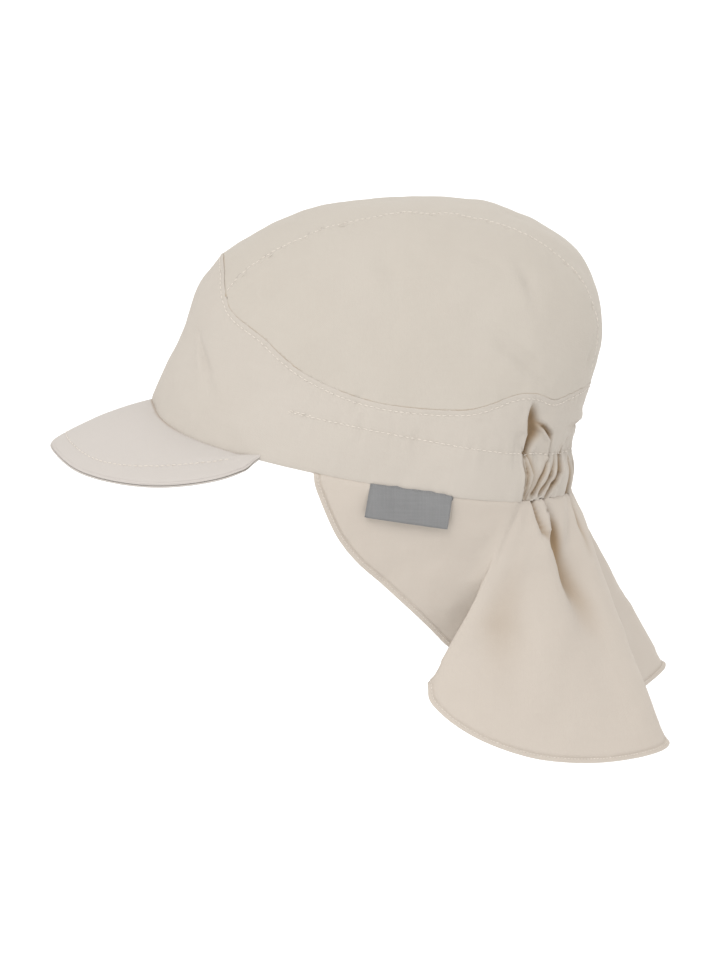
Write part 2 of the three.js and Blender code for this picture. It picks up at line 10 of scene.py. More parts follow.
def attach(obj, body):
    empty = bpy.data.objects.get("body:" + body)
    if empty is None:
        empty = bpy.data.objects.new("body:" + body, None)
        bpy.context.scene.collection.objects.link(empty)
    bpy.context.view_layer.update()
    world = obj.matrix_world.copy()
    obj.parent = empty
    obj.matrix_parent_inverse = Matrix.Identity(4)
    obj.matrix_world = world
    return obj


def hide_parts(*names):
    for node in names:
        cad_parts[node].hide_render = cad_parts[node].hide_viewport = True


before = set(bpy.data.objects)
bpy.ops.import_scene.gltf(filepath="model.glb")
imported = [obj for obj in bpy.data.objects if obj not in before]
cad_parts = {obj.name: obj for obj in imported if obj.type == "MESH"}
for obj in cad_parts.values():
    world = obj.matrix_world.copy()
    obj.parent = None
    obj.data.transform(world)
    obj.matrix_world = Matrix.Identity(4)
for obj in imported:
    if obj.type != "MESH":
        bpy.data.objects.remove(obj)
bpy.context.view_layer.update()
mm = 0.001
print("frame loaded:", len(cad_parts), "nodes")

# camera, in millimetres and degrees
view = {
    "azimuth": -5, "elevation": 11, "distance": 1100,
    "aim": (-1.3, -2.85, -15.2), "lens": 98.55, "sensor": 36,
}


def wayTo(azimuth, elevation):                        # from the middle of the scene outward
    turn, rise = math.radians(azimuth), math.radians(elevation)
    return Vector((math.sin(turn) * math.cos(rise), -math.cos(turn) * math.cos(rise), math.sin(rise)))


def addObject(name, data):
    made = bpy.data.objects.new(name, data)
    bpy.context.scene.collection.objects.link(made)
    return made


def addCamera():
    away = wayTo(view["azimuth"], view["elevation"])
    data = bpy.data.cameras.new("camera")
    data.sensor_fit = "VERTICAL"
    data.sensor_height = view["sensor"]
    data.lens = view["lens"]
    camera = addObject("camera", data)
    camera.location = (Vector(view["aim"]) + away * view["distance"]) * mm
    camera.rotation_euler = away.to_track_quat("Z", "Y").to_euler()
    bpy.context.scene.camera = camera


addCamera()

# the cap sits tipped back on the head; its own directions are measured before that tip, from
# where the crown is widest, with the reach to the side, to the back and to the front
worn = {"tilt": 11.5, "widest": 30, "sideReach": 72, "backReach": 60, "frontReach": 120}
wearTilt = Matrix.Rotation(math.radians(worn["tilt"]), 4, "Y")
levelCap = wearTilt.inverted()


def capPlace(point):                                  # degrees from the back to the left, height over the rim
    level = levelCap @ point
    along = level.x - worn["widest"] * mm
    reach = worn["backReach"] if along > 0 else worn["frontReach"]
    return math.degrees(math.atan2(-level.y / (worn["sideReach"] * mm), along / (reach * mm))), level.z


def bell(distance, width):
    return math.exp(-(distance / width) ** 2)


def ease(low, high, value):                           # rises smoothly from 0 at low to 1 at high
    share = min(max((value - low) / (high - low), 0), 1)
    return share * share * (3 - 2 * share)


def treeOf(cloth):
    cloth.faces.ensure_lookup_table()
    return BVHTree.FromBMesh(cloth)


def pointTree(points):
    tree = KDTree(len(points))
    for index, point in enumerate(points):
        tree.insert(point, index)
    tree.balance()
    return tree


def gap(tree, vert):                                  # millimetres to another piece
    return tree.find_nearest(vert.co)[3] / mm


def innerVerts(cloth):
    return [vert for vert in cloth.verts if not vert.is_boundary]


def soften(cloth, verts):
    bmesh.ops.smooth_vert(cloth, verts=verts, factor=0.5, use_axis_x=True, use_axis_y=True, use_axis_z=True)


# cloth taken from the frame's solids: a wall ends at an outer corner sharper than wallAngle
skinning = {"wallAngle": 45, "weld": 0.02, "levels": 2}


def islandsOf(cloth):                                 # patches of faces that a sharp outer corner parts
    cloth.faces.index_update()
    seen, patches = set(), []
    for first in cloth.faces:
        if first.index in seen:
            continue
        seen.add(first.index)
        patch, todo = [], [first]
        while todo:
            face = todo.pop()
            patch.append(face)
            for edge in face.edges:
                if len(edge.link_faces) != 2:
                    continue
                a, b = edge.link_faces
                outward = (b.calc_center_median() - a.calc_center_median()).dot(a.normal) < 0
                if outward and edge.calc_face_angle() > math.radians(skinning["wallAngle"]):
                    continue
                for other in (a, b):
                    if other.index not in seen:
                        seen.add(other.index)
                        todo.append(other)
        patches.append(patch)
    return sorted(patches, key=len, reverse=True)


def skinOf(nodeName, inside):                         # outer side of a node's cloth, in four-sided faces
    cloth = bmesh.new()
    cloth.from_mesh(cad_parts[nodeName].data)
    bmesh.ops.remove_doubles(cloth, verts=cloth.verts, dist=skinning["weld"] * mm)
    cloth.normal_update()
    centre = Vector(inside) * mm

    def outwardness(patch):
        return sum((face.calc_center_median() - centre).normalized().dot(face.normal) * face.calc_area()
                   for face in patch)

    keep = set(max(islandsOf(cloth)[:2], key=outwardness))
    bmesh.ops.delete(cloth, geom=[face for face in cloth.faces if face not in keep], context="FACES")
    bmesh.ops.join_triangles(cloth, faces=cloth.faces[:], angle_face_threshold=math.radians(70),
                             angle_shape_threshold=math.radians(80))
    return cloth


def finer(cloth, spans, relax):                       # subdivided, eased, and long edges halved
    mesh = bpy.data.meshes.new("finer")
    cloth.to_mesh(mesh)
    cloth.free()
    holder = addObject("finer", mesh)
    smooth = holder.modifiers.new("finer", "SUBSURF")
    smooth.levels = smooth.render_levels = skinning["levels"]
    smooth.boundary_smooth = "PRESERVE_CORNERS"
    fine = bmesh.new()
    fine.verts.layers.float.new("fold")               # painted shade: how much each place is darkened, in folds, beside the band's edge, in the gathers and beside the hem
    fine.from_object(holder, bpy.context.evaluated_depsgraph_get())
    bpy.data.objects.remove(holder)
    bpy.data.meshes.remove(mesh)
    inner = innerVerts(fine)
    for turn in range(relax):
        soften(fine, inner)
    for longest, wanted in spans:                     # edges over a length are halved where wanted
        longEdges = [edge for edge in fine.edges if edge.calc_length() > longest * mm and wanted(edge)]
        bmesh.ops.subdivide_edges(fine, edges=longEdges, cuts=1, use_grid_fill=True)
    soften(fine, innerVerts(fine))
    fine.normal_update()
    return fine


def everywhere(edge):
    return True


def byTheEdge(edge):
    return any(vert.is_boundary for vert in edge.verts)


# low enough, and in the part that the elastic draws together
def inGathers(height):
    def wanted(edge):
        places = [capPlace(vert.co) for vert in edge.verts]
        return all(abs(turn) < 70 and level < height * mm for turn, level in places)
    return wanted


# edges of cloth
def waysOff(cloth):                                   # for each edge vertex, the way off the cloth
    ways = {}
    for edge in cloth.edges:
        if not edge.is_boundary:
            continue
        face = edge.link_faces[0]
        a, b = edge.verts
        off = (b.co - a.co).cross(face.normal).normalized()
        if off.dot((a.co + b.co) / 2 - face.calc_center_median()) < 0:
            off.negate()
        for vert in (a, b):
            ways[vert] = ways.get(vert, Vector()) + off
    return {vert: way.normalized() for vert, way in ways.items()}


# turns the edges in; steps are (off the edge, inward) in millimetres, and hidden takes over
# from steps where share(vertex) is 1
def foldUnder(cloth, steps, hidden=None, share=lambda vert: 0):
    edges = [edge for edge in cloth.edges if edge.is_boundary]
    ways = waysOff(cloth)
    places = {vert: (vert.co.copy(), ways[vert], vert.normal.copy(), share(vert))
              for edge in edges for vert in edge.verts}
    for (off, sink), (hiddenOff, hiddenSink) in zip(steps, hidden or steps):
        made = bmesh.ops.extrude_edge_only(cloth, edges=edges)["geom"]
        moved = {}
        edges = [item for item in made if isinstance(item, bmesh.types.BMEdge) and item.is_boundary]
        for vert in [item for item in made if isinstance(item, bmesh.types.BMVert)]:
            source = min((edge.other_vert(vert) for edge in vert.link_edges),
                         key=lambda other: (other.co - vert.co).length)
            moved[vert] = places[source]
        for vert, (start, way, normal, part) in moved.items():
            outward = off + (hiddenOff - off) * part
            inward = sink + (hiddenSink - sink) * part
            vert.co = start + way * outward * mm - normal * inward * mm
        places = moved
        edges = [edge for edge in edges if all(vert in moved for vert in edge.verts)]
    cloth.normal_update()


def edgeChains(cloth):                                # edge vertices in order, one list for each loop
    left = {edge for edge in cloth.edges if edge.is_boundary}
    chains = []
    while left:
        edge = left.pop()
        chain = list(edge.verts)
        while True:
            ahead = [item for item in chain[-1].link_edges if item in left]
            if not ahead:
                break
            left.discard(ahead[0])
            chain.append(ahead[0].other_vert(chain[-1]))
        chains.append(chain)
    return chains


def fromWidestGap(chain):                             # part of a loop, put in order from end to end
    start = max(range(len(chain)), key=lambda index: (chain[index].co - chain[index - 1].co).length)
    return chain[start:] + chain[:start]


def easeEdge(chain, turns):                           # small kinks of an edge are rounded off
    for turn in range(turns):
        middles = [(a.co + c.co) / 2 for a, c in zip(chain, chain[2:])]
        for vert, middle in zip(chain[1:-1], middles):
            vert.co = vert.co.lerp(middle, 0.5)


def insetLine(cloth, chain, inset):                   # a line on the cloth beside its edge
    ways, tree = waysOff(cloth), treeOf(cloth)
    line = []
    for vert in chain:
        if vert in ways:
            point, normal, index, distance = tree.find_nearest(vert.co - ways[vert] * inset(vert) * mm)
            if distance < (1 + 0.6 * inset(vert)) * mm:
                line.append(point)
    return line


def evenly(line, step):                               # the same line with points a fixed step apart
    points, rest = [line[0]], step
    for a, b in zip(line, line[1:]):
        length = (b - a).length
        at = rest
        while at <= length and length > 0:
            points.append(a.lerp(b, at / length))
            at += step
        rest = at - length
    return points


# a stitch and the groove that its row draws into the cloth, in millimetres
thread = {
    "length": 1.8, "pitch": 2.4, "width": 0.44, "height": 0.26, "lift": 0.05, "lean": 0.06,
    "sink": 0.28, "grooveWidth": 0.8,
}
# puckers across a seam, in millimetres; waves are (pace along it, pace across it, seed, share)
puckers = {
    "height": 0.8, "reach": 5.2, "step": 0.5, "endFade": 8, "swell": 0.2,
    "waves": ((3.2, 16, 7, 1), (9, 20, 3, 0.6)),
}


def pullIn(cloth, lines, strength=1.0):               # the cloth sinks along seams and puckers beside them
    marks, step = [], puckers["step"]                 # points with their place along the line and their share
    for line in lines:
        row = evenly(line, step * mm)
        for key, point in enumerate(row):
            toEnd = min(key, len(row) - key) * step
            marks.append((point, key * step, ease(0, puckers["endFade"], toEnd)))
    tree = pointTree([point for point, along, share in marks])
    for vert in cloth.verts:
        point, key, distance = tree.find(vert.co)
        distance /= mm
        if distance > 3 * puckers["reach"]:
            continue
        point, along, share = marks[key]
        wave = 0
        for pace, across, seed, weight in puckers["waves"]:
            wave += weight * noise.noise(Vector((along / pace, distance / across, seed)))
        drop = thread["sink"] * bell(distance, thread["grooveWidth"])
        drop += (puckers["height"] * strength * share * max(wave, -puckers["swell"])
                 * bell(distance, puckers["reach"]))
        vert.co -= vert.normal * drop * mm
    cloth.normal_update()


def sew(name, line, cloth, scale=1):                  # a row of stitches that lies on the cloth
    tree = treeOf(cloth)
    row = bmesh.new()
    half = thread["length"] / 2 * mm * scale
    points = evenly(line, thread["pitch"] * mm * scale)
    for before, after in zip(points, points[1:]):
        middle, normal = tree.find_nearest((before + after) / 2)[:2]
        along = (after - before).normalized()
        side = normal.cross(along).normalized()
        up = along.cross(side)
        lean = thread["lean"] * noise.noise(middle / (2 * mm))
        along = (along + side * lean).normalized()
        size = Matrix.Diagonal((thread["width"] / 2 * mm * scale, thread["height"] * mm, half, 1))
        turn = Matrix((side, up, along)).transposed().to_4x4()
        place = Matrix.Translation(middle + up * thread["lift"] * mm)
        bmesh.ops.create_uvsphere(row, u_segments=6, v_segments=5, radius=1, matrix=place @ turn @ size)
    return piece(name, row, [], sewingThread)


def piece(name, cloth, nodes, material, thickness=0):
    mesh = bpy.data.meshes.new(name)
    cloth.to_mesh(mesh)
    cloth.free()
    mesh.shade_smooth()
    mesh.materials.append(material)
    made = addObject(name, mesh)
    if thickness:
        wall = made.modifiers.new("thickness", "SOLIDIFY")
        wall.thickness = thickness * mm
        wall.offset = -1                              # the wall grows inward
    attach(made, "root")
    if nodes:
        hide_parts(*nodes)
    return made


def layWeave(cloth, across, down, period=0):          # a thread map in millimetres, for the weave
    layer = cloth.loops.layers.uv.new("weave")
    for face in cloth.faces:
        first = None
        for loop in face.loops:
            u = across(loop.vert.co)
            first = u if first is None else first
            if period and abs(u - first) > period / 2:
                u += period if first > u else -period
            loop[layer].uv = (u, down(loop.vert.co))


# soft creases of worn cotton, in millimetres: (size of the waves, height)
crumple = {"waves": ((34, 0.9), (15, 0.7), (7, 0.26))}


def crumpled(cloth, share=1.0):
    for vert in cloth.verts:
        lift = 0
        for size, height in crumple["waves"]:
            lift += height * noise.noise(vert.co / (size * mm) + Vector((size, 3, 1)))
        vert.co += vert.normal * lift * share * mm
    cloth.normal_update()


# how folds are cut: millimetres for a degree round the cap, then in widths of the fold; a pleat
# is steep on one side and slack on the other, and pleatShade is how much of its depth becomes painted shade
foldCut = {
    "perDegree": 1.15, "reach": 5, "lipPlace": 1.7, "lipWidth": 1.2,
    "steep": 0.45, "slack": 1.7, "pleatLip": 1.6, "pleatShade": 1.2,
}


def nearestOnFold(here, path):                        # distance, distance with a side, depth and width
    best = None
    for (r0, h0, d0, w0), (r1, h1, d1, w1) in zip(path, path[1:]):
        start = Vector((r0 * foldCut["perDegree"], h0))
        way = Vector((r1 * foldCut["perDegree"], h1)) - start
        share = min(max((here - start).dot(way) / way.length_squared, 0), 1)
        off = here - start - way * share
        if best is None or off.length < best[0]:
            aside = off.length if way.x * off.y - way.y * off.x > 0 else -off.length
            best = (off.length, aside, d0 + (d1 - d0) * share, w0 + (w1 - w0) * share)
    return best


def isBeside(here, path):
    reach = foldCut["reach"] * max(width for *_, width in path)
    rounds, levels = zip(*(point[:2] for point in path))
    return (min(rounds) * foldCut["perDegree"] - reach < here.x < max(rounds) * foldCut["perDegree"] + reach
            and min(levels) - reach < here.y < max(levels) + reach)


def foldAlong(cloth, folds, side=1):                  # side 1 is left, -1 right
    layer = cloth.verts.layers.float["fold"]
    for vert in cloth.verts:
        turn, height = capPlace(vert.co)
        if turn * side < -2:
            continue
        here = Vector((turn * side * foldCut["perDegree"], height / mm))
        drop = shade = 0
        for fold in folds:
            if not isBeside(here, fold["path"]):
                continue
            distance, aside, depth, width = nearestOnFold(here, fold["path"])
            if distance >= foldCut["reach"] * width:
                continue
            if fold.get("tuck"):
                slope = foldCut["steep" if aside * fold["tuck"] > 0 else "slack"] * width
                lip = fold["lip"] * bell(aside * fold["tuck"] - foldCut["pleatLip"] * width, width)
                drop += depth * (math.exp(-distance / slope) - lip)
                shade += foldCut["pleatShade"] * depth * math.exp(-distance / slope)
            else:
                lip = fold["lip"] * bell(aside - foldCut["lipPlace"] * width, foldCut["lipWidth"] * width)
                drop += depth * (bell(distance, width) - lip)
                shade += depth * bell(distance, width) * fold.get("shade", 1)
        vert.co -= vert.normal * drop * mm
        # painted shade: the fold's depth goes into the fold layer, which darkens the cloth's colour
        vert[layer] += shade
    cloth.normal_update()


# materials
class Wire:                                           # a shader socket that can stand in sums
    def __init__(self, shader, socket):
        self.shader, self.socket = shader, socket

    def maths(self, operation, first, second=0.0):
        return self.shader.add("ShaderNodeMath", {"operation": operation}, {0: first, 1: second})

    def __add__(self, other):
        return self.maths("ADD", self, other)

    def __radd__(self, other):
        return self.maths("ADD", other, self)

    def __mul__(self, other):
        return self.maths("MULTIPLY", self, other)

    def sine(self):
        return self.maths("SINE", self)


class Shader:
    def __init__(self, name):
        self.material = bpy.data.materials.new(name)
        self.material.use_nodes = True
        self.tree = self.material.node_tree
        self.tree.nodes.clear()

    def add(self, kind, settings=None, values=None, output=0):
        node = self.tree.nodes.new(kind)
        for key, value in (settings or {}).items():
            setattr(node, key, value)
        for key, value in (values or {}).items():
            if isinstance(value, Wire):
                self.tree.links.new(value.socket, node.inputs[key])
            else:
                node.inputs[key].default_value = value
        return Wire(self, node.outputs[output])

    def blend(self, share, first, second):            # of two colours, each a wire or red, green and blue
        ends = [end if isinstance(end, Wire) else (*end, 1) for end in (first, second)]
        return self.add("ShaderNodeMix", {"data_type": "RGBA"}, {0: share, 6: ends[0], 7: ends[1]}, 2)

    def flatNoise(self, place, scale, detail, **more):
        values = {"Vector": place, "Scale": scale, "Detail": detail, **more}
        return self.add("ShaderNodeTexNoise", {"noise_dimensions": "2D"}, values)

    def bump(self, strength, distance, height):
        values = {"Strength": strength, "Distance": distance, "Height": height}
        return self.add("ShaderNodeBump", None, values)

    def finish(self, colour, roughness, normal, constants):
        values = {"Base Color": colour, "Roughness": roughness, "Normal": normal}
        values.update(constants)
        surface = self.add("ShaderNodeBsdfPrincipled", None, values)
        output = self.tree.nodes.new("ShaderNodeOutputMaterial")
        self.tree.links.new(surface.socket, output.inputs["Surface"])
        return self.material


# woven cloth; slubs, clouds and crinkles in waves for each millimetre, and painted shade by the fold layer,
# in folds by how deep they are
woven = {
    "slubAcross": 1.6, "slubAlong": 0.05, "cloudScale": 0.03, "crinkleScale": 0.14,
    "foldShadeFrom": 0.3, "foldShadeTo": 3.1, "foldShadeMost": 0.95, "roughness": 0.86, "bumpHeight": 0.00012,
    "gloss": 0.25, "sheenTint": (1, 0.96, 0.9, 1),
}


def cottonMaterial(name, look):
    shader = Shader(name)
    place = shader.add("ShaderNodeUVMap", {"uv_map": "weave"})
    u = shader.add("ShaderNodeSeparateXYZ", None, {0: place})
    v = Wire(shader, u.socket.node.outputs[1])
    turn = 2 * math.pi / look["threadPitch"]
    weave = (u * turn).sine() * (v * turn).sine()
    across, along = woven["slubAcross"], woven["slubAlong"]
    warp = shader.add("ShaderNodeCombineXYZ", None, {0: u * across, 1: v * along})
    weft = shader.add("ShaderNodeCombineXYZ", None, {0: u * along, 1: v * across})
    slub = (shader.flatNoise(warp, 1.0, 2.0) + shader.flatNoise(weft, 1.0, 2.0)) * 0.5
    cloud = shader.flatNoise(place, woven["cloudScale"], 3.0)
    crinkle = shader.flatNoise(place, woven["crinkleScale"], 4.0, Roughness=0.55)
    plain = shader.blend(cloud * 0.5 + slub * 0.5, look["shaded"], look["lit"])
    # painted shade: the fold layer blends the cloth toward a dark brown shade colour
    fold = shader.add("ShaderNodeAttribute", {"attribute_name": "fold"}, None, 2)
    depth = shader.add("ShaderNodeMapRange", {"interpolation_type": "SMOOTHSTEP"}, {
        "Value": fold, "From Min": woven["foldShadeFrom"], "From Max": woven["foldShadeTo"],
        "To Max": woven["foldShadeMost"]})
    colour = shader.blend(depth, plain, look["foldShadeColour"])
    height = weave * 0.5 + slub * 1.2 + crinkle * look["crinkle"]
    normal = shader.bump(look["bump"], woven["bumpHeight"], height)
    return shader.finish(colour, woven["roughness"] + slub * 0.08, normal, {
        "Specular IOR Level": woven["gloss"], "Sheen Weight": look["sheen"], "Sheen Roughness": 0.45,
        "Sheen Tint": woven["sheenTint"]})


def threadMaterial(name, look):
    shader = Shader(name)
    place = shader.add("ShaderNodeTexCoord", None, None, 3)
    grain = shader.add("ShaderNodeTexNoise", None, {
        "Vector": place, "Scale": look["grainScale"], "Detail": 3.0})
    colour = shader.blend(grain, look["shaded"], look["lit"])
    normal = shader.bump(look["bump"], look["bumpHeight"], grain)
    return shader.finish(colour, look["roughness"] + grain * 0.1, normal, {
        "Specular IOR Level": look["gloss"], "Sheen Weight": 0.1})


cottonLooks = {                                       # linear colours
    "crown_cotton": {"lit": (0.462, 0.424, 0.374), "shaded": (0.434, 0.392, 0.340)},
    "band_cotton": {"lit": (0.468, 0.428, 0.382), "shaded": (0.438, 0.396, 0.346)},
    "peak_cotton": {"lit": (0.485, 0.45, 0.418), "shaded": (0.462, 0.426, 0.394)},
    "flap_cotton": {"lit": (0.484, 0.434, 0.380), "shaded": (0.454, 0.400, 0.346)},
}
for look in cottonLooks.values():                     # thread pitch in millimetres, and the colour of the painted shade in folds
    look.update({"threadPitch": 0.62, "crinkle": 2.2, "bump": 0.35, "sheen": 0.08,
                 "foldShadeColour": (0.27, 0.185, 0.105)})
cottons = {name: cottonMaterial(name, look) for name, look in cottonLooks.items()}
labelTape = cottonMaterial("label_tape", {
    "lit": (0.255, 0.255, 0.255), "shaded": (0.14, 0.14, 0.14), "foldShadeColour": (0.1, 0.1, 0.1),
    "threadPitch": 0.9, "crinkle": 0.6, "bump": 0.9, "sheen": 0.05})
sewingThread = threadMaterial("sewing_thread", {
    "lit": (0.66, 0.61, 0.55), "shaded": (0.58, 0.53, 0.465), "grainScale": 2500.0,
    "bump": 0.3, "bumpHeight": 0.0001, "roughness": 0.75, "gloss": 0.25})
print("materials made:", len(bpy.data.materials))


# folds: path is rows of (degrees round, height over the rim, depth, width) in millimetres, lip is
# the raised side, tuck the steep side of a pleat, and shade how much of the depth is painted as shade on the
# cloth
casingFolds = [
    {"lip": 0.3, "tuck": 1, "path": [(63.4, 18, 1.4, 0.7), (60.6, 9.3, 2.8, 0.8), (59.4, -2, 2.0, 0.7)]},
    {"lip": 0.1, "tuck": 1, "path": [(61.2, 17, 0.8, 0.4), (58.9, 9.4, 1.5, 0.4), (58.0, -1, 1.2, 0.4)]},
    {"lip": 0.3, "tuck": 1, "path": [(59.4, 17, 1.8, 0.8), (56.0, 9.5, 3.8, 1.0), (56.5, 2.7, 2.0, 0.7),
                                     (57, -1, 1.4, 0.6)]},
    {"lip": 0.2, "tuck": -1, "path": [(45.3, 16.4, 0.8, 0.7), (47.4, 12.3, 2.0, 0.8), (50.5, 6.3, 2.6, 0.8),
                                      (53.1, 0.8, 2.2, 0.7)]},
    {"lip": 0.2, "tuck": -1, "path": [(40.6, 16.4, 0.8, 0.7), (43.2, 9.1, 2.2, 0.8), (48.9, 1.3, 2.4, 0.7)]},
    {"lip": 0.25, "tuck": -1, "path": [(35.2, 18.2, 1.8, 0.7), (36, 10.2, 2.8, 0.9), (42, 4.7, 3.0, 0.8),
                                       (44.1, 0.3, 2.0, 0.7)]},
    {"lip": 0.2, "tuck": -1, "path": [(24.7, 16.4, 1.0, 0.8), (24.9, 7.2, 2.4, 0.9), (25.3, -1, 2.6, 0.8)]},
    {"lip": 0.2, "tuck": 1, "path": [(14, 16.4, 1.4, 0.8), (17, 8, 2.6, 0.9), (16, -1, 2.0, 0.8)]},
    {"lip": 0.2, "tuck": -1, "path": [(4, 16.4, 1.4, 0.8), (6, 8, 2.4, 0.9), (7, -1, 2.2, 0.8)]},
]
bandFolds = [
    {"lip": 0.3, "shade": 0.8, "path": [(62.3, 38.2, 0.3, 1.1), (60.6, 32, 4.0, 2.7), (57.8, 25.5, 4.8, 3.3),
                                        (61, 17.5, 3.4, 1.2)]},
    {"lip": 0.5, "path": [(57, 30, 0.5, 0.8), (52.8, 28.3, 2.6, 0.9), (48, 24.4, 3.4, 1.1),
                          (46.5, 17, 2.8, 0.9)]},
    {"lip": 0.6, "shade": 0.4, "path": [(-4, 26.8, 1.5, 1.7), (18, 26.8, 1.5, 1.7), (34, 28.5, 0.4, 1.4)]},
    {"lip": 0.4, "path": [(29, 22, 0.8, 1.0), (35, 18, 2.4, 1.0)]},
    {"lip": 0.3, "path": [(22, 31, 0.8, 1.5), (24, 17, 2.4, 1.3)]},
    {"lip": 0.3, "path": [(9, 34, 0.9, 1.7), (13, 17, 2.4, 1.3)]},
    {"lip": 0.3, "path": [(2, 29, 0.6, 1.5), (4, 17, 2.0, 1.2)]},
]
frontFolds = [                                        # on the left only
    {"lip": 0.3, "shade": 0.4, "path": [(163, 35, 0.4, 1.3), (154.8, 26.1, 1.4, 1.5), (151.7, 22.1, 1.1, 1.9),
                                        (147, 12, 0.2, 2.8)]},
]
flapFolds = [
    {"lip": 0.2, "path": [(53.6, -0.5, 2.0, 1.1), (51.3, -5.1, 2.8, 1.4), (47.5, -11.7, 2.4, 2.0),
                          (44, -17, 1.0, 2.6)]},
    {"lip": 0.4, "shade": 0.75, "path": [(46.8, -0.5, 2.0, 0.8), (43.9, -5.5, 3.8, 1.1),
                                         (40.4, -11, 5.0, 2.8), (38.8, -18, 5.0, 4.2),
                                         (35.5, -27, 3.8, 4.6), (31, -40, 2.0, 5.0), (29, -56, 0.6, 5.5)]},
    {"lip": 0.0, "shade": 0.9, "path": [(54, -12, 0.2, 5.0), (57, -32, 0.9, 9.0), (60, -52, 1.4, 12.0),
                                        (58, -74, 0.6, 12.0)]},
    {"lip": 0.3, "path": [(25, -0.5, 1.8, 1.0), (24, -8, 2.1, 1.8), (23, -22, 0.9, 3.0)]},
    {"lip": 0.3, "path": [(12, -0.5, 1.8, 1.0), (12, -10, 2.2, 2.0), (11, -30, 1.0, 3.4)]},
    {"lip": 0.3, "path": [(3, -0.5, 1.7, 1.0), (3, -8, 1.7, 1.8), (2, -20, 0.7, 3.0)]},
]
sideFolds = [
    {"lip": 0.3, "shade": 0.2, "path": [(92, 66, 0.3, 3.5), (80, 60, 1.5, 3.6), (66, 53, 1.8, 3.6),
                                        (57, 47.5, 0.6, 3.0)]},
    {"lip": 0.3, "shade": 0.1, "path": [(120, 84, 0.2, 3.0), (114, 78, 1.2, 3.4), (110, 70, 0.2, 3.4)]},
    {"lip": 0.3, "shade": 0.1, "path": [(78, 92, 0.2, 3.0), (70, 84, 1.2, 3.6), (66, 74, 0.2, 3.6)]},
    {"lip": 0.2, "shade": 0.2, "path": [(146, 64, 0.6, 2.6), (142, 60, 1.2, 3.0), (139, 56, 0.4, 3.0)]},
    {"lip": 0.3, "path": [(103, 93, 0.2, 1.6), (95, 90, 0.5, 1.8), (84, 86.5, 0.2, 1.8)]},
    {"lip": 0.3, "shade": 0.4, "path": [(30, 64, 0.2, 2.4), (32, 57, 0.9, 2.2), (34, 51.5, 0.1, 1.4)]},
]

# the skins of all pieces, before they are shaped; edges over so many millimetres are halved
headMiddle, flapMiddle = (20, 0, 15), (45, 0, -60)
fineCloth = [(3, everywhere), (1.9, everywhere)]
fineSide = fineCloth + [(1.1, byTheEdge), (0.7, byTheEdge)]
fineBand = [(3, everywhere), (1.5, everywhere), (1.1, inGathers(40)), (0.68, inGathers(19))]
fineFlap = [(3, everywhere), (2.2, everywhere), (1.4, byTheEdge), (0.8, byTheEdge), (0.5, byTheEdge)]
skins = {
    "strip": finer(skinOf("crown_top_strip", headMiddle), fineCloth, 4),
    "left": finer(skinOf("crown_side_left", headMiddle), fineSide, 4),
    "right": finer(skinOf("crown_side_right", headMiddle), fineSide, 4),
    "band": finer(skinOf("front_band", headMiddle), fineBand, 2),
    "peakTop": finer(skinOf("peak_top", (-90, 0, -500)), fineCloth, 3),
    "peakUnder": finer(skinOf("peak_under", (-90, 0, 500)), fineCloth, 3),
    "flap": finer(skinOf("neck_flap", flapMiddle), fineFlap, 4),
    "label": finer(skinOf("side_label", flapMiddle), [(1.5, everywhere)], 1),
}
print("skins made:", {name: len(cloth.faces) for name, cloth in skins.items()})
bandTree, stripTree = treeOf(skins["band"]), treeOf(skins["strip"])
sideTrees = {1: treeOf(skins["left"]), -1: treeOf(skins["right"])}


# 1 where an edge meets the band, 0 at high millimetres from it
def underBand(vert, high=1.8):
    return 1 - ease(1.0, high, gap(bandTree, vert))


# cloth beside the band's edge sinks, and darkens with painted shade, within a reach in millimetres, twice as
# much in front
tuck = {"reach": 1.5, "shadeReach": 0.75, "front": (150, 160)}


def tucked(cloth, shade, depth=0.0):
    layer = cloth.verts.layers.float["fold"]
    for vert in cloth.verts:
        distance = gap(bandTree, vert)
        if distance > 4 * tuck["reach"]:
            continue
        front = 1 + ease(*tuck["front"], abs(capPlace(vert.co)[0]))
        # painted shade beside the band's edge, through the fold layer
        vert[layer] += shade * front * bell(distance, tuck["shadeReach"])
        vert.co -= vert.normal * depth * bell(distance, tuck["reach"]) * mm
    cloth.normal_update()


# band and its casing, in millimetres and degrees round; turnIn is how its edges fold under
band = {
    "seamInset": 1.7, "casingHeight": 16.4, "casingStart": 126, "casingWave": 0.8,
    "top": 34, "casingPuff": 1.3, "upperPuff": 1.0, "puffEnds": (58, 68),
    "gatherShade": 0.5, "shadeEnds": (54, 66), "seamPucker": 0.6, "rimPucker": 0.4,
    "backtack": 14, "backtackShift": (0.9, 0, 0.4), "weaveScale": 1.35,
    "turnIn": [(0.28, 0.04), (0.46, 0.2), (0.42, 0.55)], "thickness": 0.8,
}


# seams, found before anything is shaped, so that neighbours are drawn in alike
def casingLine(tree):                                 # seam of the casing, level round the sides and the back
    line = []
    for step in range(4 * band["casingStart"] + 1):   # in half degrees
        turn = math.radians(band["casingStart"] - step / 2)
        height = band["casingHeight"] + band["casingWave"] * math.sin((step / 2 - 20) / 30)
        start = wearTilt @ (Vector((worn["widest"], 0, height)) * mm)
        reach = worn["backReach"] if math.cos(turn) > 0 else worn["frontReach"]
        level = Vector((reach * math.cos(turn), -worn["sideReach"] * math.sin(turn), 0)).normalized()
        hit = tree.ray_cast(start, wearTilt.to_3x3() @ level)[0]
        if hit:
            line.append(hit)
    return line


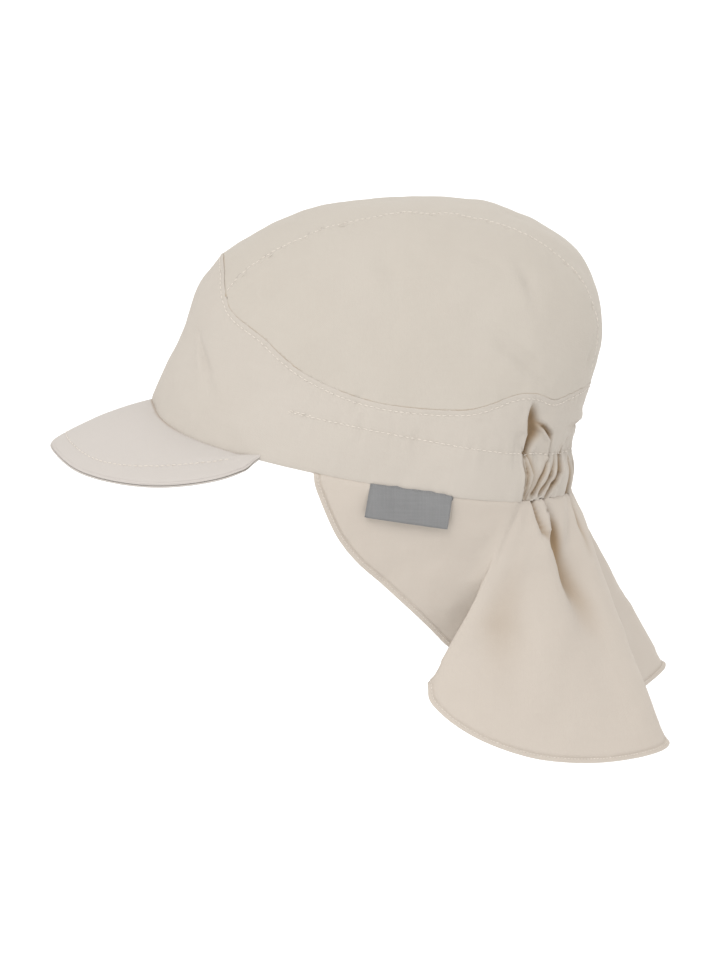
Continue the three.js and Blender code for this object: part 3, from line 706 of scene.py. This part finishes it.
def stripSeam(side):
    strip = skins["strip"]
    chain = max(edgeChains(strip), key=len)
    edge = [vert for vert in chain if vert.co.y * side < 0 and gap(sideTrees[side], vert) < 1.2]
    edge.sort(key=lambda vert: math.atan2((levelCap @ vert.co).z, (levelCap @ vert.co).x))
    return insetLine(strip, edge, lambda vert: 1.1)


bandTop, bandBottom = sorted(edgeChains(skins["band"]), key=lambda chain: -capPlace(chain[0].co)[1])
seams = {
    "left": stripSeam(1), "right": stripSeam(-1),
    "top": insetLine(skins["band"], bandTop, lambda vert: band["seamInset"]),
    "casing": casingLine(bandTree),
    "bottom": [vert.co.copy() for vert in bandBottom],
}
crownSeams = [seams["left"], seams["right"], seams["top"]]


# crown, in millimetres; an edge follows turnIn, and under the band it follows hidden
crown = {
    "thickness": 0.7, "cornerOut": 2.4, "cornerIn": 0.5, "cornerGap": (2.5, 6.0), "seamPucker": 0.6,
    "stripShade": 2.4, "stripTurnIn": [(0.35, 0.06), (0.62, 0.16), (0.6, 0.55)],
    "stripHidden": [(0.15, 0.15), (0.5, 0.4), (1.8, 1.0)], "stripWeave": 95, "stripMiddle": 20,
    "sideShade": 2.8, "sideTurnIn": [(0.3, 0.1), (0.8, 0.3), (2.0, 0.8)],
    "sideHidden": [(0.15, 0.15), (0.5, 0.45), (1.6, 1.7)], "sideWeave": 80,
}


def crownPiece(name, cloth, node, turnIn, hidden, shares):
    foldUnder(cloth, turnIn, hidden, shares.get)
    piece(name, cloth, [node], cottons["crown_cotton"], crown["thickness"])


def underShares(cloth):                               # by edge vertex, before the cloth is shaped
    return {vert: underBand(vert) for vert in cloth.verts if vert.is_boundary}


# where three pieces meet at the back, the edge reaches under the others
def fillCorner(cloth, others):
    for vert, way in waysOff(cloth).items():
        if abs(capPlace(vert.co)[0]) < 90:
            share = 1 - ease(*crown["cornerGap"], max(gap(tree, vert) for tree in others))
            vert.co += (way * crown["cornerOut"] - vert.normal * crown["cornerIn"]) * share * mm


def crownStrip():
    cloth = skins["strip"]
    shares = underShares(cloth)
    crumpled(cloth)
    pullIn(cloth, crownSeams, crown["seamPucker"])
    tucked(cloth, crown["stripShade"])
    middle, radius = crown["stripMiddle"] * mm, crown["stripWeave"]
    layWeave(cloth, lambda p: p.y / mm, lambda p: math.atan2(p.z, p.x - middle) * radius)
    for name in ("left", "right"):
        sew("stitches_strip_" + name, seams[name], cloth)
    crownPiece("crown_strip_cloth", cloth, "crown_top_strip", crown["stripTurnIn"],
               crown["stripHidden"], shares)


def crownSide(name, side):
    cloth = skins[name]
    fillCorner(cloth, (bandTree, stripTree))
    shares = underShares(cloth)
    crumpled(cloth)
    foldAlong(cloth, sideFolds, side)
    pullIn(cloth, crownSeams)
    tucked(cloth, crown["sideShade"])
    layWeave(cloth, lambda p: p.x / mm, lambda p: math.atan2(p.z, abs(p.y)) * crown["sideWeave"])
    crownPiece("crown_" + name + "_cloth", cloth, "crown_side_" + name, crown["sideTurnIn"],
               crown["sideHidden"], shares)


crownStrip()
crownSide("left", 1)
crownSide("right", -1)
print("crown made")


# band with its elastic casing
def puffed(cloth, low, high, height):                 # the gathered cloth swells between two seams
    seam = pointTree(seams["top"])
    for vert in cloth.verts:
        turn, level = capPlace(vert.co)
        level /= mm
        if low < level < high:
            share = math.sin(math.pi * (level - low) / (high - low))
            share *= 1 - ease(*band["puffEnds"], abs(turn))
            share *= ease(1, 7, seam.find(vert.co)[2] / mm)
            wave = 0.75 + 0.5 * noise.noise(Vector((turn / 9, level / 14, 5)))
            vert.co += vert.normal * share * wave * height * mm
    cloth.normal_update()


def bandPiece():
    cloth = skins["band"]
    crumpled(cloth)
    puffed(cloth, 1, band["casingHeight"], band["casingPuff"])
    puffed(cloth, band["casingHeight"], band["top"], band["upperPuff"])
    foldAlong(cloth, casingFolds + bandFolds + frontFolds)
    foldAlong(cloth, casingFolds + bandFolds, -1)
    pullIn(cloth, crownSeams, band["seamPucker"])
    tree = treeOf(cloth)
    casing, bottom = ([tree.find_nearest(point)[0] for point in seams[name]] for name in ("casing", "bottom"))
    pullIn(cloth, [casing])
    pullIn(cloth, [bottom], band["rimPucker"])
    layer = cloth.verts.layers.float["fold"]
    for vert in cloth.verts:                          # painted shade: the gathered run is a little darker all over
        vert[layer] += band["gatherShade"] * (1 - ease(*band["shadeEnds"], abs(capPlace(vert.co)[0])))
    scale = band["weaveScale"]
    layWeave(cloth, lambda p: capPlace(p)[0] * scale, lambda p: capPlace(p)[1] / mm, 360 * scale)
    sew("stitches_crown_seam", seams["top"], cloth)
    sew("stitches_casing", casing, cloth)
    shift = Vector(band["backtackShift"]) * mm        # the casing's seam is sewn twice at its two ends
    for number, end in enumerate((casing[:band["backtack"]], casing[-band["backtack"]:])):
        sew("stitches_backtack_%d" % number, [point + shift for point in end], cloth)
    foldUnder(cloth, band["turnIn"])
    piece("band_cloth", cloth, ["front_band"], cottons["band_cotton"], band["thickness"])


bandPiece()
print("band made")


# peak, in millimetres; its ends are drawn in behind the band
peak = {
    "endShift": (0.5, 2.4, 2.4), "endGap": (2, 7), "endFrom": (50, 58), "hiddenEnds": (50, 57),
    "stitchInset": 8.0, "sideInset": 3.5, "insetFrom": (-115, -75), "bandReach": 2.0,
    "crumple": 0.35, "shade": 1.0, "seamPucker": 0.25, "thickness": 0.95,
    "topTurnIn": [(0.12, 0.08), (0.15, 0.3), (-0.3, 0.8)],
    "topHidden": [(0.3, 0.1), (0.9, 0.25), (1.6, 0.5)],
    "underTurnIn": [(0.7, -0.08), (1.15, 0.12), (1.1, 0.4), (0.5, 0.5)],
    "underHidden": [(0.0, 0.1), (0.0, 0.2), (0.0, 0.3), (0.0, 0.4)],
    "underReach": 14, "closeReach": 10, "closeLift": 0.9,
}


def drawEndsIn(cloth):
    back, inward, up = peak["endShift"]
    for vert in cloth.verts:
        near = 1 - ease(*peak["endGap"], gap(bandTree, vert))
        end = near * ease(*peak["endFrom"], abs(vert.co.y) / mm)
        vert.co += Vector((back, -math.copysign(inward, vert.co.y), up)) * end * mm


def peakTop():
    cloth = skins["peakTop"]
    drawEndsIn(cloth)
    chain = max(edgeChains(cloth), key=len)
    edge = fromWidestGap([vert for vert in chain if gap(bandTree, vert) >= peak["bandReach"]])
    line = insetLine(cloth, edge, lambda vert: peak["stitchInset"] + peak["sideInset"] * ease(
        *peak["insetFrom"], vert.co.x / mm))
    crumpled(cloth, peak["crumple"])
    tucked(cloth, peak["shade"])
    pullIn(cloth, [line], peak["seamPucker"])
    layWeave(cloth, lambda p: p.y / mm, lambda p: p.x / mm)
    sew("stitches_peak", line, cloth)
    foldUnder(cloth, peak["topTurnIn"], peak["topHidden"],
              lambda vert: underBand(vert, 2) * (1 - ease(*peak["hiddenEnds"], abs(vert.co.y) / mm)))
    piece("peak_top_cloth", cloth, ["peak_top"], cottons["peak_cotton"], peak["thickness"])


def peakUnder():
    cloth = skins["peakUnder"]
    drawEndsIn(cloth)
    layWeave(cloth, lambda p: p.y / mm, lambda p: p.x / mm)
    for vert in cloth.verts:                          # the cover closes on the upper side at the band
        near = 1 - ease(0, peak["closeReach"], gap(bandTree, vert))
        vert.co -= vert.normal * near * peak["closeLift"] * mm
    foldUnder(cloth, peak["underTurnIn"], peak["underHidden"],
              lambda vert: underBand(vert, peak["underReach"]))
    piece("peak_under_cloth", cloth, ["peak_under"], cottons["peak_cotton"], peak["thickness"])


peakTop()
peakUnder()
print("peak made")


# neck flap, in millimetres; flatSize in metres and flatArea in square metres are of the cut cloth
flap = {
    "hemWidth": 2.0, "hemHeight": 0.4, "hemShade": 0.9, "groove": 0.3, "grooveWidth": 0.4, "stitchScale": 0.6,
    "edgeTurns": 30, "lobeTip": (21, -65, -89), "tipReach": 13, "tipTurns": 90,
    "softReach": 8, "softTurns": 12,
    "bandSink": 0.5, "bandShade": 1.3, "crumple": 1.1, "hemPucker": 0.3, "hiddenEnds": (110, 116),
    "turnIn": [(0.1, 0.08), (0.12, 0.25), (0.05, 0.5)], "hidden": [(0.1, 0.5), (0.6, 0.9), (2.0, 1.1)],
    "thickness": 0.6, "weaveScale": 1.5, "flatSize": (0.42, 0.13), "flatArea": 0.036,
}


def raiseHem(cloth, tree):                            # it is doubled outward, so it stands a little proud
    width, groove = flap["hemWidth"], flap["grooveWidth"]
    layer = cloth.verts.layers.float["fold"]
    for vert in cloth.verts:
        inward = tree.find(vert.co)[2] / mm
        # painted shade in the groove beside the hem
        vert[layer] += flap["hemShade"] * bell(inward - width - 0.2, groove)
        lift = flap["hemHeight"] * (1 - ease(width - 0.2, width + 0.15, inward))
        vert.co += vert.normal * (lift - flap["groove"] * bell(inward - width - 0.25, groove)) * mm
    cloth.normal_update()


def flapPiece():
    cloth = skins["flap"]
    chain = max(edgeChains(cloth), key=len)
    shares = {vert: underBand(vert) * (1 - ease(*flap["hiddenEnds"], abs(capPlace(vert.co)[0])))
              for vert in chain}
    hem = fromWidestGap([vert for vert in chain if underBand(vert) < 0.5])
    tucked(cloth, flap["bandShade"], flap["bandSink"])
    foldAlong(cloth, flapFolds)
    foldAlong(cloth, flapFolds, -1)
    crumpled(cloth, flap["crumple"])
    easeEdge(hem, flap["edgeTurns"])
    for side in (1, -1):                              # the lobes round off in front
        tip = Vector(flap["lobeTip"]) * mm
        tip.y *= side
        easeEdge([vert for vert in hem if (vert.co - tip).length < flap["tipReach"] * mm], flap["tipTurns"])
    tree = pointTree(evenly([vert.co.copy() for vert in hem], 0.4 * mm))
    inside = [vert for vert in innerVerts(cloth) if tree.find(vert.co)[2] < flap["softReach"] * mm]
    for turn in range(flap["softTurns"]):
        soften(cloth, inside)
    cloth.normal_update()
    line = insetLine(cloth, hem, lambda vert: flap["hemWidth"] - 0.5)
    pullIn(cloth, [line], flap["hemPucker"])
    raiseHem(cloth, tree)
    layWeave(cloth, lambda p: capPlace(p)[0] * flap["weaveScale"], lambda p: p.z / mm)
    sew("stitches_hem", line, cloth, flap["stitchScale"])
    foldUnder(cloth, flap["turnIn"], flap["hidden"], shares.get)
    made = piece("flap_cloth", cloth, ["neck_flap"], cottons["flap_cotton"], flap["thickness"])


flapPiece()
print("flap made")


# label, a woven tape doubled over, with a bare face; in millimetres
label = {
    "bandReach": 2.2, "hold": 6, "sink": 1.35, "bend": 0.25, "bendSize": 11, "bendFrom": (2, 9),
    "backShift": (-0.6, 0.5, 0.15), "thickness": 0.4,
    "turnIn": [(0.03, 0.08), (0.1, 0.3), (0.05, 0.5)], "hidden": [(0.05, 0.4), (0.2, 0.8), (0.9, 1.2)],
}


def labelPiece():
    cloth = skins["label"]
    top = {vert for vert in cloth.verts if vert.is_boundary and gap(bandTree, vert) < label["bandReach"]}
    tree = pointTree([vert.co for vert in top])
    for vert in cloth.verts:
        down = tree.find(vert.co)[2] / mm
        vert.co -= vert.normal * (1 - ease(0, label["hold"], down)) * label["sink"] * mm
        bend = label["bend"] * noise.noise(vert.co / (label["bendSize"] * mm))
        vert.co += vert.normal * bend * ease(*label["bendFrom"], down) * mm
    layWeave(cloth, lambda p: p.x / mm, lambda p: p.z / mm)
    cloth.normal_update()
    back = cloth.copy()
    for vert in back.verts:
        vert.co += Vector(label["backShift"]) * mm
    foldUnder(cloth, label["turnIn"], label["hidden"], lambda vert: 1 if vert in top else 0)
    piece("label_tape_front", cloth, ["side_label"], labelTape, label["thickness"])
    piece("label_tape_back", back, [], labelTape, label["thickness"])


labelPiece()
print("label made")


# floor and light, in metres; suns are (azimuth, elevation, strength, width in degrees)
studio = {
    "floor": -0.34, "floorSize": 80, "floorColours": ((0.95, 0.95, 0.95), (0.96, 0.96, 0.96)), "world": 0.72,
    "suns": {
        "key": (-24, 42, 1.42, 30), "fill": (50, 36, 0.55, 60), "rim": (-80, 30, 0.65, 50),
        "back": (150, 35, 0.95, 60),
    },
}


def addFloor():
    ground = bmesh.new()
    bmesh.ops.create_grid(ground, x_segments=1, y_segments=1, size=studio["floorSize"],
                          matrix=Matrix.Translation((0, 0, studio["floor"])))
    mesh = bpy.data.meshes.new("floor")
    ground.to_mesh(mesh)
    ground.free()
    floor = addObject("floor", mesh)
    shader = Shader("pale_floor")
    grain = shader.add("ShaderNodeTexNoise", None, {"Scale": 3.0, "Detail": 2.0})
    colour = shader.blend(grain, *studio["floorColours"])
    normal = shader.bump(0.02, 0.0002, grain)
    mesh.materials.append(shader.finish(colour, 0.9, normal, {"Specular IOR Level": 0.1}))


def addLights():
    world = bpy.data.worlds.new("studio")
    world.use_nodes = True
    background = world.node_tree.nodes["Background"]
    background.inputs["Color"].default_value = (1, 1, 1, 1)
    background.inputs["Strength"].default_value = studio["world"]
    bpy.context.scene.world = world
    for name, (azimuth, elevation, strength, width) in studio["suns"].items():
        away = wayTo(azimuth, elevation)
        data = bpy.data.lights.new(name, "SUN")
        data.energy = strength
        data.angle = math.radians(width)
        lamp = addObject(name, data)
        lamp.location = away
        lamp.rotation_euler = away.to_track_quat("Z", "Y").to_euler()


addFloor()
addLights()
bpy.context.scene.view_settings.view_transform = "Standard"
